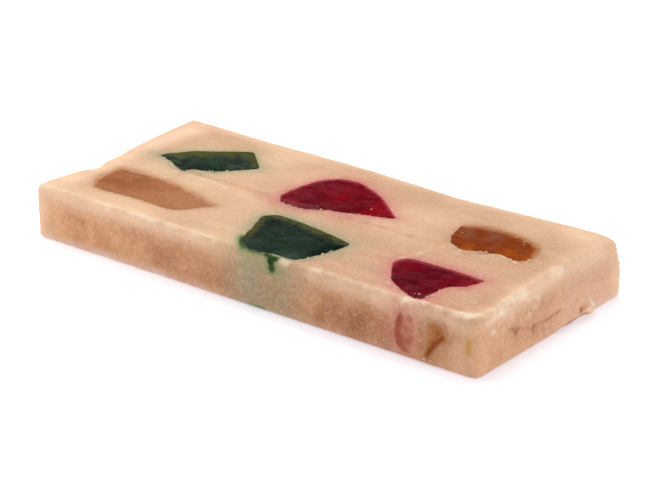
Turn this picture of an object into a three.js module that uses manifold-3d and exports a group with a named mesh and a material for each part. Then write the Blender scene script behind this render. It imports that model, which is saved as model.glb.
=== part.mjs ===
// A bar of soft nougat with chunks of candied fruit, cut by hand from a bigger block.
// The paste is one slab. Six chunks of fruit run down through it and show, cut flat, on its top,
// and three show at its front side: the front red one, an amber one and an ochre one at the corner.
// Millimetres, +Z up, +X along the bar, the front side at -Y, the origin under the middle.

import * as THREE from "three";
import { mergeVertices } from "three/addons/utils/BufferGeometryUtils.js";
import Module from "manifold-3d";

const wasm = await Module();
wasm.setup();

// the slab
const length = 172;
const width = 76.2;
const thickness = 18.5;
const bottomEdge = 0.8; // radius of the edge round the underside
const squareCorner = 1.5; // plan radius of the two upright corners at the left end
const frontRightCorner = 4.4;
const backRightCorner = 3.2;
const frontShoulder = 2.3; // radius that the cut top rolls over with
const backShoulder = 1.6;
const leftShoulder = 1.3;
const rightShoulder = 2.4;

// how the slab strays from a true block
const leftHollow = { y: -14, depth: 4.6, fade: 60, bottomShare: 0.35 };
const backDip = { x: 26, reach: 32, depth: 1.7, drop: 0.5 };
// the right end leans back towards its top, by an amount for each y
const rightLean = { from: 8, reach: 18 };
const leanAlongY = [
  [-38.1, 0],
  [-36, 0],
  [-30, 0.8],
  [-14, 2.2],
  [6, 2.8],
  [28, 2.5],
  [33, 1.4],
  [38.1, 0.4],
];
const knifeStep = { y: -0.3, height: 0.45, run: 0.5 }; // the front strip lies this much lower
const sag = 0.35; // slow waves of the top
const waver = 0.3; // slow waves of the sides
const grain = 0.22; // rough crumb of the sides
const cleanCorner = 4; // the sides are smooth this near to an upright corner

// dents and lumps of the upright sides: centre, size along the side, size in height, depth inwards
const sideMarks = [
  { x: -67, y: -38.1, z: 10, wide: 2.6, high: 2.2, depth: 0.6 },
  { x: -44.6, y: -38.1, z: 11.2, wide: 2, high: 4, depth: 0.5 },
  { x: 24.4, y: -38.1, z: 14.8, wide: 1.8, high: 1.6, depth: 0.5 },
  { x: 86, y: -19.5, z: 8.6, wide: 3.2, high: 1.8, depth: 0.9 },
  { x: 86, y: -10, z: 6.5, wide: 3.2, high: 2.2, depth: 0.9 },
  { x: 86, y: 15.2, z: 3.4, wide: 2, high: 2, depth: 0.9 },
  { x: 86, y: 19.6, z: 3.6, wide: 2.2, high: 3, depth: -1.3 },
];

// the grid that carries the form, and where its lines lie between one side (-1) and the other (1)
const cells = { x: 56, y: 27, z: 7 };
const linesAlongX = [
  [-1, -86],
  [-0.9, -83.2],
  [0.84, 78.5],
  [1, 86],
];
const linesAlongY = [
  [-1, -38.1],
  [-0.74, -34.2],
  [-0.06, -0.9],
  [0.06, 0.3],
  [0.86, 35],
  [1, 38.1],
];
const linesAlongZ = [
  [-1, 0],
  [-0.75, 0.9],
  [0.25, 13.2],
  [1, 18.5],
];

// the fruit
const sunk = 0.2; // the cut fruit lies this far below the paste round it
const clearance = 0.3; // between a chunk and its pocket
const beyond = 3; // a pocket is cut this far past the slab's faces
const curvePoints = 3; // points to each rounded corner of an outline
const fruitRoughness = 0.35;
const pasteColor = 0xd9ae88;
const pasteRoughness = 0.6;

// An outline is a list of corners [x, y, how far back from the corner its rounding starts], or
// [x, z, rounding] on the front side, where depth says how far in from the side the chunk goes.
// taper is the share by which a standing chunk is smaller at the underside.

// The front red chunk leans out below the shoulder to the front side, where it shows again.
const redAtSide = {
  depth: 12,
  corners: [
    [58.6, 15.2, 2],
    [64.6, 15, 2],
    [65.2, 1.2, 1],
    [60, 0.9, 2],
    [56.4, 4, 2.5],
    [56.2, 10.6, 3],
  ],
};

// Chunks that stand in the slab, with their outlines on the cut top.
const topFruits = [
  {
    name: "tan_fruit",
    color: 0xb07a52,
    taper: 0.12,
    corners: [
      [-75.9, -9.9, 2.5],
      [-56, -9.2, 5],
      [-44, -12, 5],
      [-28.2, -17.2, 1.5],
      [-36.6, -29, 4],
      [-53, -27.9, 5],
      [-70.4, -29.7, 4],
      [-75.4, -22, 4],
    ],
  },
  {
    name: "green_fruit_back",
    color: 0x2f4a3c,
    taper: 0.15,
    corners: [
      [-72.6, 5, 1.5],
      [-65.8, 13.6, 3],
      [-49.8, 26.5, 1.5],
      [-38.1, 15.4, 1.8],
      [-46.5, 4.4, 4],
      [-54, 1.6, 1],
      [-57, -0.9, 1.4],
      [-61.4, 0.5, 1.4],
      [-64.6, 2.4, 1.6],
    ],
  },
  {
    name: "red_fruit_back",
    color: 0x7c1220,
    taper: 0.1,
    corners: [
      [-18.2, 1, 2.5],
      [-17.8, 16, 6],
      [-12, 25, 4],
      [-5, 26.4, 4],
      [8, 20.2, 6],
      [22.8, 8.2, 1.5],
      [10, 3.2, 2],
      [1, 0.8, 3],
      [-6.2, -3, 4],
      [-15, -2.6, 3],
    ],
  },
  {
    name: "green_fruit_front",
    color: 0x26382f,
    taper: 0.08,
    corners: [
      [-12.1, -14.6, 1.5],
      [-9.2, -10.9, 2.5],
      [1, -11.3, 3],
      [12, -12.9, 4],
      [23.3, -15.5, 1.5],
      [23.3, -22, 4],
      [18, -36.2, 3],
      [10.6, -35.7, 2],
      [4.4, -37.1, 2],
      [-1, -36.9, 2.5],
      [-5.6, -32.5, 4],
    ],
  },
  {
    name: "amber_fruit_back",
    color: 0x96582a,
    taper: 0.14,
    corners: [
      [41.4, 17, 2.5],
      [46.6, 20.2, 3],
      [59, 21.2, 5],
      [71, 17.6, 4],
      [74, 8, 4],
      [70.8, 3.1, 2],
      [64, 5.1, 2],
      [58.2, 2.2, 2],
      [52.6, -0.5, 3],
      [46.4, 3, 3],
      [43.4, 9, 3],
    ],
  },
  {
    name: "red_fruit_front",
    color: 0x5f0a14,
    taper: 0.1,
    atSide: redAtSide,
    corners: [
      [40.9, -18.2, 2.5],
      [43.4, -12.8, 2.5],
      [62, -12.5, 6],
      [71.2, -13.2, 1],
      [69.2, -20.4, 1.2],
      [65, -23.2, 2.5],
      [63.8, -35.6, 2],
      [61, -36.1, 2.5],
      [49.2, -30.2, 4],
    ],
  },
];

// Chunks that lie in the front side.
const sideFruits = [
  {
    name: "amber_fruit_side",
    color: 0x8a4a20,
    depth: 6,
    corners: [
      [67.2, 14.4, 1.5],
      [74.8, 14.8, 2],
      [76.6, 9.4, 2],
      [71.8, 4.8, 2],
      [69.8, 1, 0.8],
      [67, 1.6, 0.8],
    ],
  },
  {
    name: "ochre_fruit_corner",
    color: 0xc08c50,
    depth: 5,
    corners: [
      [81.2, 6.2, 0.8],
      [84.6, 6.4, 0.8],
      [85, 12.8, 0.8],
      [81.8, 12.8, 0.8],
    ],
  },
];

function between(table, t) {
  const next = table.findIndex(([at]) => at >= t - 1e-9);
  if (next < 1) return table[0][1];
  const [t0, v0] = table[next - 1];
  const [t1, v1] = table[next];
  return THREE.MathUtils.mapLinear(t, t0, t1, v0, v1);
}

// A repeatable rough value from -1 to 1 for each place.
function roughness(x, y, z) {
  const mixed = Math.sin(x * 12.9898 + y * 78.233 + z * 37.719) * 43758.5453;
  return 2 * (mixed - Math.floor(mixed)) - 1;
}

function bump(distance) {
  return Math.exp(-distance * distance);
}

// Turns the square upright corners of the slab into round ones.
function roundCorners(p) {
  let radius = squareCorner;
  if (p.x > 0) radius = p.y < 0 ? frontRightCorner : backRightCorner;
  const pastX = Math.abs(p.x) - (length / 2 - radius);
  const pastY = Math.abs(p.y) - (width / 2 - radius);
  if (pastX <= 0 || pastY <= 0) return;
  const pull = Math.max(pastX, pastY) / Math.hypot(pastX, pastY);
  p.x -= Math.sign(p.x) * pastX * (1 - pull);
  p.y -= Math.sign(p.y) * pastY * (1 - pull);
}

// Rolls the cut top over at each side with that side's own radius, and breaks the bottom edge.
function roundShoulders(p, square) {
  const toSideX = length / 2 - Math.abs(square.x);
  const toSideY = width / 2 - Math.abs(square.y);
  const upper = p.z > thickness / 2;
  const nearRight = THREE.MathUtils.smoothstep(p.x, length / 2 - 26, length / 2);
  const alongY = THREE.MathUtils.lerp(p.y < 0 ? frontShoulder : backShoulder, rightShoulder, nearRight);
  const radiusX = upper ? (p.x < 0 ? leftShoulder : rightShoulder) : bottomEdge;
  const radiusY = upper ? alongY : bottomEdge;
  const overX = Math.max(0, radiusX - toSideX) / radiusX;
  const overY = Math.max(0, radiusY - toSideY) / radiusY;
  const over = Math.max(overX, overY);
  const radius = overX > overY ? radiusX : radiusY;
  const high = upper ? Math.max(0, p.z - (thickness - radius)) : Math.max(0, radius - p.z);
  const up = high / radius;
  if (over <= 0 || up <= 0) return;
  const pull = Math.max(over, up) / Math.hypot(over, up);
  const share = new THREE.Vector2(overX ** 3, overY ** 3).normalize();
  p.x -= Math.sign(p.x) * share.x * over * (1 - pull) * radius;
  p.y -= Math.sign(p.y) * share.y * over * (1 - pull) * radius;
  p.z += (upper ? -1 : 1) * up * (1 - pull) * radius;
}

// The hand-cut block: the hollow left end, the leaning right one, the dip of the back edge, the
// knife's step and the waves.
function stray(p) {
  const up = p.z / thickness;
  const toLeft = THREE.MathUtils.clamp(1 - (p.x + length / 2) / leftHollow.fade, 0, 1);
  const reach = p.y > leftHollow.y ? width / 2 - leftHollow.y : 10;
  const away = Math.min(1, Math.abs(p.y - leftHollow.y) / reach);
  const hollow = leftHollow.depth * (1 - away) ** 1.15 + (p.y < leftHollow.y ? 1.2 * away : 0);
  p.x += hollow * toLeft * THREE.MathUtils.lerp(leftHollow.bottomShare, 1, up);

  const toBack = THREE.MathUtils.clamp(p.y / (width / 2), 0, 1);
  const dip = bump((p.x - backDip.x) / backDip.reach) * toBack ** 2;
  p.y -= backDip.depth * dip * up;
  p.z -= backDip.drop * dip * up;

  const nearTop = THREE.MathUtils.smoothstep(p.z, rightLean.from, thickness);
  const nearEnd = THREE.MathUtils.smoothstep(p.x, length / 2 - rightLean.reach, length / 2);
  p.x -= between(leanAlongY, THREE.MathUtils.clamp(p.y, -38.1, 38.1)) * nearTop * nearEnd;

  const { y: stepY, run } = knifeStep;
  const behind = THREE.MathUtils.smoothstep(p.y, stepY - run, stepY + run);
  p.z -= knifeStep.height * (1 - behind) * up;
  p.z -= sag * up * (0.5 + 0.5 * Math.sin(p.x / 19 + 1) * Math.cos(p.y / 13 - p.x / 60));
}

// The wavering, crumbly cut of the upright sides. It only goes inwards, save for a lump.
function roughenSides(p, square) {
  const onEnd = Math.abs(Math.abs(square.x) - length / 2) < 1e-6;
  const onSide = Math.abs(Math.abs(square.y) - width / 2) < 1e-6;
  if (!(onEnd || onSide) || square.z < 1e-6) return;
  const along = onEnd ? square.y : square.x;
  const toCorner = onEnd ? width / 2 - Math.abs(square.y) : length / 2 - Math.abs(square.x);
  let inwards = waver * (0.5 + 0.5 * Math.sin(along / 11 + square.z / 7 + (onEnd ? 2 : 0)));
  inwards += grain * (0.5 + 0.5 * roughness(square.x, square.y, square.z));
  for (const mark of sideMarks) {
    const sideways = onEnd ? square.y - mark.y : square.x - mark.x;
    const facing = onEnd ? mark.x === square.x : Math.abs(mark.y - square.y) < 0.1;
    if (!facing) continue;
    inwards += mark.depth * bump(Math.hypot(sideways / mark.wide, (square.z - mark.z) / mark.high));
  }
  inwards *= THREE.MathUtils.smoothstep(toCorner, 0, cleanCorner);
  if (onEnd) p.x -= Math.sign(square.x) * inwards;
  if (onSide) p.y -= Math.sign(square.y) * inwards;
}

function slabGeometry() {
  const geometry = new THREE.BoxGeometry(2, 2, 2, cells.x, cells.y, cells.z);
  const place = geometry.attributes.position;
  const p = new THREE.Vector3();
  for (let i = 0; i < place.count; i++) {
    const square = new THREE.Vector3(
      between(linesAlongX, place.getX(i)),
      between(linesAlongY, place.getY(i)),
      between(linesAlongZ, place.getZ(i)),
    );
    p.copy(square);
    roundCorners(p);
    roundShoulders(p, square);
    roughenSides(p, square);
    stray(p);
    place.setXYZ(i, p.x, p.y, p.z);
  }
  return geometry;
}

function solidFrom(geometry) {
  geometry.deleteAttribute("normal");
  geometry.deleteAttribute("uv");
  const merged = mergeVertices(geometry, 1e-4);
  return new wasm.Manifold(
    new wasm.Mesh({
      numProp: 3,
      vertProperties: merged.attributes.position.array,
      triVerts: new Uint32Array(merged.index.array),
    }),
  );
}

function geometryFrom(solid) {
  const mesh = solid.getMesh();
  return new THREE.BufferGeometry()
    .setAttribute("position", new THREE.BufferAttribute(mesh.vertProperties, 3))
    .setIndex(new THREE.BufferAttribute(mesh.triVerts, 1));
}

// A closed outline through corners that are each rounded off, grown outwards by a distance.
function outline(corners, grown = 0) {
  const path = new THREE.Path();
  corners.forEach(([x, y, cut], i) => {
    const corner = new THREE.Vector2(x, y);
    const [from, to] = [corners.at(i - 1), corners[(i + 1) % corners.length]].map(([nearX, nearY]) => {
      const side = new THREE.Vector2(nearX, nearY).sub(corner);
      return side.multiplyScalar(0.48).clampLength(0, cut).add(corner);
    });
    if (i === 0) path.moveTo(from.x, from.y);
    else path.lineTo(from.x, from.y);
    path.quadraticCurveTo(corner.x, corner.y, to.x, to.y);
  });
  const points = path.getPoints(curvePoints);
  const outwards = THREE.ShapeUtils.isClockWise(points) ? -1 : 1;
  return points.map((point, i) => {
    const across = points[(i + 1) % points.length].clone().sub(points.at(i - 1)).normalize();
    return new THREE.Vector2(point.x + across.y * grown * outwards, point.y - across.x * grown * outwards);
  });
}

// A chunk that stands in the slab: its outline on the top, drawn in towards the underside.
function standingChunk({ corners, taper }, grown = 0) {
  const points = outline(corners, grown);
  const middle = new THREE.Vector2();
  points.forEach((point) => middle.addScaledVector(point, 1 / points.length));
  const depth = thickness + 2 * beyond;
  const geometry = new THREE.ExtrudeGeometry(new THREE.Shape(points), { depth, bevelEnabled: false });
  const place = geometry.attributes.position;
  for (let i = 0; i < place.count; i++) {
    const z = place.getZ(i) - beyond;
    const size = 1 - taper * (1 - z / thickness);
    const x = THREE.MathUtils.lerp(middle.x, place.getX(i), size);
    const y = THREE.MathUtils.lerp(middle.y, place.getY(i), size);
    place.setXYZ(i, x, y, z);
  }
  return solidFrom(geometry);
}

// A chunk that lies in the front side: its outline on the side, going straight in.
function sideChunk({ corners, depth }, grown = 0) {
  const shape = new THREE.Shape(outline(corners, grown));
  const geometry = new THREE.ExtrudeGeometry(shape, { depth: depth + beyond + grown, bevelEnabled: false });
  geometry.rotateX(Math.PI / 2).translate(0, -width / 2 + depth + grown, 0);
  return solidFrom(geometry);
}

function chunk(fruit, grown = 0) {
  if (fruit.depth) return sideChunk(fruit, grown);
  const standing = standingChunk(fruit, grown);
  return fruit.atSide ? standing.add(sideChunk(fruit.atSide, grown)) : standing;
}

const slab = solidFrom(slabGeometry());
const sunkSlab = slab
  .translate([0, 0, -sunk])
  .intersect(slab.translate([0, sunk, 0]))
  .intersect(slab);

const bar = new THREE.Group();

function addPiece(name, solid, color, roughness) {
  const piece = new THREE.Mesh(
    geometryFrom(solid),
    new THREE.MeshStandardMaterial({ color, roughness, metalness: 0 }),
  );
  piece.name = name;
  bar.add(piece);
}

let paste = slab;
for (const fruit of [...topFruits, ...sideFruits]) {
  paste = paste.subtract(chunk(fruit, clearance));
  addPiece(fruit.name, sunkSlab.intersect(chunk(fruit)), fruit.color, fruitRoughness);
}
addPiece("nougat_paste", paste, pasteColor, pasteRoughness);

export default bar;
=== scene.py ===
from math import cos, radians, sin

import bmesh
import bpy
import numpy as np
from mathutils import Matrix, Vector, noise


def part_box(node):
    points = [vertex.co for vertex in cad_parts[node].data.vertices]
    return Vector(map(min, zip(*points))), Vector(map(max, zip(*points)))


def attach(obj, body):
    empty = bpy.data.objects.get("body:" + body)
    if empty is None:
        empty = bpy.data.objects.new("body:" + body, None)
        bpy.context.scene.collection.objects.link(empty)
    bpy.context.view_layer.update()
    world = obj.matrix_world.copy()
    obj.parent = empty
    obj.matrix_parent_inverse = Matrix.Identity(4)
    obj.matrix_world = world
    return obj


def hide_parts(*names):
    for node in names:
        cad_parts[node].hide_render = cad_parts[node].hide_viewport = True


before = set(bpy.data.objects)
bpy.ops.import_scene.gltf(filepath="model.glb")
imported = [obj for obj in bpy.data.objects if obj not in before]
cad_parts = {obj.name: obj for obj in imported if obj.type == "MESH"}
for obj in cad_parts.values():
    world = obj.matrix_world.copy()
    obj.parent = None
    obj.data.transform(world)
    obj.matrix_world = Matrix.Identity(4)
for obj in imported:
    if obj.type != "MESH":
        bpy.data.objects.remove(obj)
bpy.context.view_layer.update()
mm = 0.001

# Camera
# The bar lies on a table and is seen past its front right corner, a little from above, through a
# long lens. The focal length is in pixels of a picture that is 663 wide.
picture_width = 663
focal_pixels = 2464
sensor_width = 36
camera_turn = radians(38.2)
camera_lift = radians(22.92)
camera_distance = 785.7 * mm
camera_aim = Vector((-5.16, 11.18, 0)) * mm

away = Vector((sin(camera_turn) * cos(camera_lift), -cos(camera_turn) * cos(camera_lift), sin(camera_lift)))
bpy.ops.object.camera_add(
    location=camera_aim + away * camera_distance, rotation=away.to_track_quat("Z", "Y").to_euler()
)
camera = bpy.context.object
camera.data.sensor_width = sensor_width
camera.data.lens = focal_pixels / picture_width * sensor_width
bpy.context.scene.camera = camera

# The form of the slab
# Soft almond paste, pressed into a thick block, and cut into bars by hand with a broad knife. The
# left end is hollow and notched, the right end is pressed round, and the back edge dips.
thickness = round(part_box("nougat_paste")[1].z / mm, 1)
half_length = 86
half_width = 38.1
lost_in_smoothing = 0.45
lost_on_top = 0.15
# The front half of the top lies a little lower: how much, and the y at which the step starts and ends.
knife_step = 0.4
knife_step_from = -0.9
knife_step_to = 0.3
# How far in the left end lies at each y, and how much of that there is at the foot.
left_end = {
    -half_width: 0.3, -28: 1, -20: 2.4, -16.5: 4.7, -14: 4.9, -10: 3.2, knife_step_from: 2.7,
    knife_step_to: 2.6, 6: 2.2, 20: 0.8, half_width: -0.2,
}
left_end_at_foot = 0.35
# How far in and how far down the back edge lies at each x.
back_edge = {
    -half_length: (0.2, 0.2), -50: (0.3, 0.4), -12: (0.3, 0.4), 6: (1, 0.6), 26: (1.8, 0.8),
    44: (1.3, 0.6), 64: (0.3, 0.3), half_length: (-0.2, 0.2),
}
# How far in from each side a corner of the block still counts as on it, and how near one is to its cut.
side_reach = {"left": 8, "right": 1, "front": 1, "back": 3}
cut_reach = 0.5
foot_radius = 1.1
largest_radius = 5
top_radius = {"front": 2, "back": 1.3, "left": 0.9, "right": 2}
upright_radius = {"left": 0.8, "front right": 4.4, "back right": 2.8}
grain_of_mesh = 0.6
# How far the right end leans back at the top at each y, the heights between which it does, and how far
# in from the end the paste is drawn back with it.
right_lean = {-36: 0, -30: 0.8, -14: 2.2, 6: 2.8, 28: 2.5, 33: 1.4, 38: 0.4}
lean_from, lean_to = 8, 18.5
lean_reach = 18


def only(piece):
    """Makes one piece the only one selected."""
    bpy.ops.object.select_all(action="DESELECT")
    piece.select_set(True)
    bpy.context.view_layer.objects.active = piece


def finish_with(piece, kind, **settings):
    """Adds a modifier to a piece, sets it and applies it."""
    only(piece)
    modifier = piece.modifiers.new(kind.lower(), kind)
    for name, value in settings.items():
        setattr(modifier, name, value)
    bpy.ops.object.modifier_apply(modifier=modifier.name)


def shift(test, by):
    """Moves the corners of the mesh in edit mode whose place in mm passes a test."""
    cage = bmesh.from_edit_mesh(bpy.context.edit_object.data)
    for corner in cage.verts:
        corner.select_set(test(corner.co / mm))
    cage.select_flush_mode()
    bpy.ops.transform.translate(value=Vector(by) * mm)


def high_up(place):
    return place.z > thickness / 2


def on_left(place):
    return place.x < -half_length + side_reach["left"]


def on_back(place):
    return place.y > half_width - side_reach["back"]


def at_cut(value, cut):
    return abs(value - cut) < cut_reach


def edge_radius(a, b):
    """How far the edge of the block from a to b is rounded, in mm."""
    middle = (a + b) / 2
    side = ""
    if max(a.x, b.x) < -half_length + side_reach["left"]:
        side = "left"
    elif min(a.x, b.x) > half_length - side_reach["right"]:
        side = "right"
    elif max(a.y, b.y) < -half_width + side_reach["front"]:
        side = "front"
    elif min(a.y, b.y) > half_width - side_reach["back"]:
        side = "back"
    if abs(a.z - b.z) > thickness / 2:
        at_corner = abs(middle.y) > half_width - side_reach["back"]
        if side == "left" and at_corner:
            return upright_radius["left"]
        if side == "right" and at_corner:
            return upright_radius["back right" if middle.y > 0 else "front right"]
        return 0
    if not side:
        return 0
    return top_radius[side] if high_up(middle) else foot_radius


def points_of(piece):
    """The places of all the corners of a piece, in mm."""
    places = np.empty(len(piece.data.vertices) * 3, "f")
    piece.data.vertices.foreach_get("co", places)
    return places.reshape(-1, 3) / mm


def put(piece, places):
    piece.data.vertices.foreach_set("co", (places * mm).ravel())
    piece.data.update()


def smooth_step(value, start, end):
    share = np.clip((value - start) / (end - start), 0, 1)
    return share * share * (3 - 2 * share)


bpy.ops.object.select_all(action="DESELECT")
bpy.ops.mesh.primitive_cube_add(
    size=1,
    location=(0, 0, (thickness + lost_on_top) / 2 * mm),
    scale=(
        2 * (half_length + lost_in_smoothing) * mm,
        2 * (half_width + lost_in_smoothing) * mm,
        (thickness + lost_on_top) * mm,
    ),
)
slab = bpy.context.object
slab.name = "nougat_slab"
bpy.ops.object.transform_apply(location=True, rotation=False, scale=True)
bpy.ops.object.mode_set(mode="EDIT")
bpy.ops.mesh.select_mode(type="VERT")
for y in list(left_end)[1:-1]:
    bpy.ops.mesh.select_all(action="SELECT")
    bpy.ops.mesh.bisect(plane_co=(0, y * mm, 0), plane_no=(0, 1, 0))
for x in list(back_edge)[1:-1]:
    bpy.ops.mesh.select_all(action="SELECT")
    bpy.ops.mesh.bisect(plane_co=(x * mm, 0, 0), plane_no=(1, 0, 0))
for y, inwards in left_end.items():
    at_foot = inwards * left_end_at_foot
    shift(lambda at: on_left(at) and high_up(at) and at_cut(at.y, y), (inwards, 0, 0))
    shift(lambda at: on_left(at) and not high_up(at) and at_cut(at.y, y), (at_foot, 0, 0))
for x, (inwards, down) in back_edge.items():
    shift(lambda at: on_back(at) and high_up(at) and at_cut(at.x, x), (0, -inwards, -down))
shift(lambda at: high_up(at) and at.y < (knife_step_from + knife_step_to) / 2, (0, 0, -knife_step))
cage = bmesh.from_edit_mesh(slab.data)
rounding = cage.edges.layers.float.new("bevel_weight_edge")
for edge in cage.edges:
    edge[rounding] = edge_radius(*(corner.co / mm for corner in edge.verts)) / largest_radius
bmesh.update_edit_mesh(slab.data)
bpy.ops.object.mode_set(mode="OBJECT")
finish_with(
    slab, "BEVEL", width=largest_radius * mm, segments=6, limit_method="WEIGHT", use_clamp_overlap=False
)
finish_with(slab, "REMESH", mode="VOXEL", voxel_size=grain_of_mesh * mm, use_smooth_shade=True)
finish_with(slab, "SMOOTH", factor=0.5, iterations=3)

places = points_of(slab)
lean = np.interp(places[:, 1], list(right_lean), list(right_lean.values()))
lean_share = smooth_step(places[:, 2], lean_from, lean_to)
lean_share *= smooth_step(places[:, 0], half_length - lean_reach, half_length)
places[:, 0] -= lean * lean_share
put(slab, places)

# The relief of the slab
# The knife left slow waves and faint drag marks on the top, and tore the sides, which are crumbly,
# with brown pits where an air bubble or a bit of nut skin came out, and a crack along the right end.
waves = {"size": 26, "depth": 0.3}
lumpy = {"size": 8, "depth": 0.3}
torn = {"size": 2.6, "depth": 0.16}
crumbly = {"size": 0.9, "depth": 0.08}
rolling = {"size": 9, "depth": 0.18}
drawn = {"size": 1.6, "depth": 0.1}
# What lies this near to the table is pressed flat on to it, and the relief fades in above that.
touching = 0.15
foot_fade = (0.2, 2.5)
# How far a surface faces upwards, from 0 to 1, where the sides' relief fades out and the top's fades in.
side_turn = (0.55, 0.95)
top_turn = (0.6, 0.95)
# How much of the torn relief was pressed off the right end, and the x between which that starts.
pressed_off = 0.7
pressed_from, pressed_to = half_length - 8, half_length - 3
# Each mark: the points it runs through, how wide it is, and how deep, or how high where below 0.
pits = [
    ([(-68, -38, 10.4), (-66.2, -38, 9.6)], 1.3, 0.3),
    ([(-54, -38, 10.6), (-51.5, -38, 10)], 0.9, 0.25),
    ([(-44.5, -38, 13.6), (-44, -38, 11.5), (-45.4, -38, 8.6)], 1, 0.3),
    ([(-29, -38, 7.5)], 0.7, 0.3),
    ([(65.6, -38, 13), (66.3, -38, 9.8)], 1, 0.35),
    ([(67, -38, 6), (66.4, -38, 5)], 0.7, 0.4),
    ([(24.5, -38, 14.8)], 0.7, 0.6),
    ([(48, -38, 13.2)], 0.6, 0.4),
    ([(86, -19.5, 8.6)], 1.1, 1.1),
    ([(86, -10, 6.4)], 1.2, 1.1),
    ([(86, -5, 4.2)], 0.7, 0.6),
    ([(86, 15.6, 3.4)], 1.2, 1.1),
    ([(86, 12, 7.5)], 0.9, 0.5),
    ([(30, 38, 9)], 1.0, 0.7),
    ([(-40, 38, 12)], 0.9, 0.6),
    ([(-81, 18, 9)], 1.1, 0.8),
    ([(-81, -2, 6)], 0.9, 0.7),
]
cracks = [
    ([(86, -23, 10.4), (86, -18, 9.2), (86, -12, 7.4), (86, -7, 7), (86, -2, 6.6), (86, 4, 7.2)], 0.5, 0.7),
    ([(-79, -38, 12.4), (-73, -38, 11.6), (-67, -38, 10.8), (-60, -38, 10.8), (-53, -38, 10.2)], 0.4, 0.25),
    ([(-20, -38, 9.4), (-12, -38, 9.8), (-3, -38, 9.2)], 0.4, 0.2),
    # The crack along the right end's foot takes the pits' brown too, as painted contact shade where the
    # edge lifts off the table.
    ([(86, 4, 0.4), (86, 10, 0.9), (86, 19, 0.6)], 0.8, 0.9),
    ([(-81, -8, 12), (-81, 4, 10.5), (-82, 12, 11)], 0.5, 0.4),
]
lumps = [
    ([(85.7, 17.4, 5), (85.9, 18.8, 4), (86, 20.4, 2.4)], 1.5, -2),
    ([(86, 4, 4.6), (86, 12, 3.4)], 2.4, -0.5),
    ([(86, -16, 11.8), (86, -6, 11.4)], 2.6, -0.5),
    ([(86, -28, 9), (86, -22, 6)], 2.4, -0.5),
    ([(86, 8, 10.4), (86, 18, 12)], 3, -0.4),
    ([(66, -38, 3.2), (70, -38, 2.2), (77, -38, 3.5)], 1.6, -0.35),
]
drags = [
    ([(-84, 0.1, 18.5), (-60, -0.5, 18.5), (-40, -0.2, 18.5), (-20, -0.8, 18.5)], 0.5, 0.3),
    ([(4, -1.6, 18.5), (14, 0.2, 18.5), (26, 0.6, 18.5), (36, 0.6, 18.5), (46, 0.4, 18.5)], 0.5, 0.3),
    ([(-14.2, 0.9, 18.5), (-9, 0.8, 18.5), (-2.4, 1.9, 18.5)], 0.45, -0.3),
    ([(-13, -0.9, 18.5), (-7, -0.8, 18.5), (-1, 0.3, 18.5)], 0.4, -0.25),
    ([(34, -3, 18.5), (41, 2, 18.5), (46, 3.6, 18.5), (54, -0.6, 18.5), (60, 3.4, 18.5)], 0.8, -0.4),
    ([(-52, -2.4, 18.5), (-36, -3.4, 18.5), (-24, -4.6, 18.5)], 0.7, -0.22),
    ([(66, -33.4, 18.5), (76, -32.8, 18.5), (82, -30, 18.5)], 2.6, 0.45),
    ([(65, -37, 18), (72, -36.9, 18), (77, -36.8, 18), (81, -36.2, 18), (84, -34, 18)], 0.8, -0.5),
    ([(30, -37.2, 18), (45, -37.5, 18), (58, -37.2, 18)], 0.9, -0.35),
    ([(-80, -37.4, 18), (-50, -37.6, 18), (-14, -37.4, 18)], 1, -0.25),
    ([(84.4, -30, 18), (83.4, -16, 18), (82.8, 0, 18), (82.8, 26, 18)], 0.9, -0.35),
    ([(79.6, -20, 18.5), (78.6, 0, 18.5), (79, 24, 18.5)], 2.4, 0.3),
]
# The back right corner is worn off along one direction.
worn_corner = [([(87, 38.5, 19)], 6, 1.7)]
worn_towards = (-0.62, -0.62, -0.48)
weight_levels = 10


def normals_of(piece):
    directions = np.empty(len(piece.data.vertices) * 3, "f")
    piece.data.vertices.foreach_get("normal", directions)
    return directions.reshape(-1, 3)


def gap_to(places, path, closed=False):
    """How far places lie from a path through points, in two or three dimensions."""
    path = np.array(path, "f")
    ends = np.roll(path, -1, axis=0)
    if not closed and len(path) > 1:
        path, ends = path[:-1], ends[:-1]
    nearest = np.full(len(places), np.inf, "f")
    for start, end in zip(path, ends):
        along = end - start
        out = places - start
        share = np.clip(out @ along / max(along @ along, 1e-9), 0, 1)
        nearest = np.minimum(nearest, np.linalg.norm(out - share[:, None] * along, axis=1))
    return nearest


def uneven(places, size, salt=0):
    """A value from about 0 to 1 for each place that changes over a length in mm."""
    aside = Vector((salt, 0, 0))
    return np.array([0.5 + 0.5 * noise.noise(Vector(place) / size + aside) for place in places.tolist()])


def press(piece, marks, unevenness=0.7, towards=None):
    """Pushes a surface in along each mark, or out where its depth is below 0."""
    for path, reach, depth in marks:
        places = points_of(piece)
        directions = normals_of(piece) if towards is None else np.tile(-np.array(towards), (len(places), 1))
        gaps = gap_to(places, path)
        near = gaps < 3 * reach
        amount = depth * np.exp(-((gaps[near] / reach) ** 2))
        amount *= 1 - unevenness + 2 * unevenness * uneven(places[near], 1.1 * reach + 0.4, salt=len(path))
        places[near] -= directions[near] * amount[:, None]
        put(piece, places)


def weigh(piece, name, weights):
    """Gives a piece a vertex group with weights from 0 to 1, in steps."""
    group = piece.vertex_groups.new(name=name)
    steps = np.round(weights * weight_levels).astype(int)
    for level in range(1, weight_levels + 1):
        group.add(np.flatnonzero(steps == level).tolist(), level / weight_levels, "REPLACE")


def roughen(piece, group, size, depth):
    """Raises and sinks a surface by a cloudy pattern whose lumps have a size in mm."""
    pattern = bpy.data.textures.new(f"{group}_{size}", "CLOUDS")
    pattern.noise_scale = size * mm
    pattern.noise_depth = 2
    pattern.noise_basis = "ORIGINAL_PERLIN"
    finish_with(
        piece, "DISPLACE", texture=pattern, strength=2 * depth * mm, mid_level=0.5,
        vertex_group=group, texture_coords="LOCAL",
    )


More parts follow.
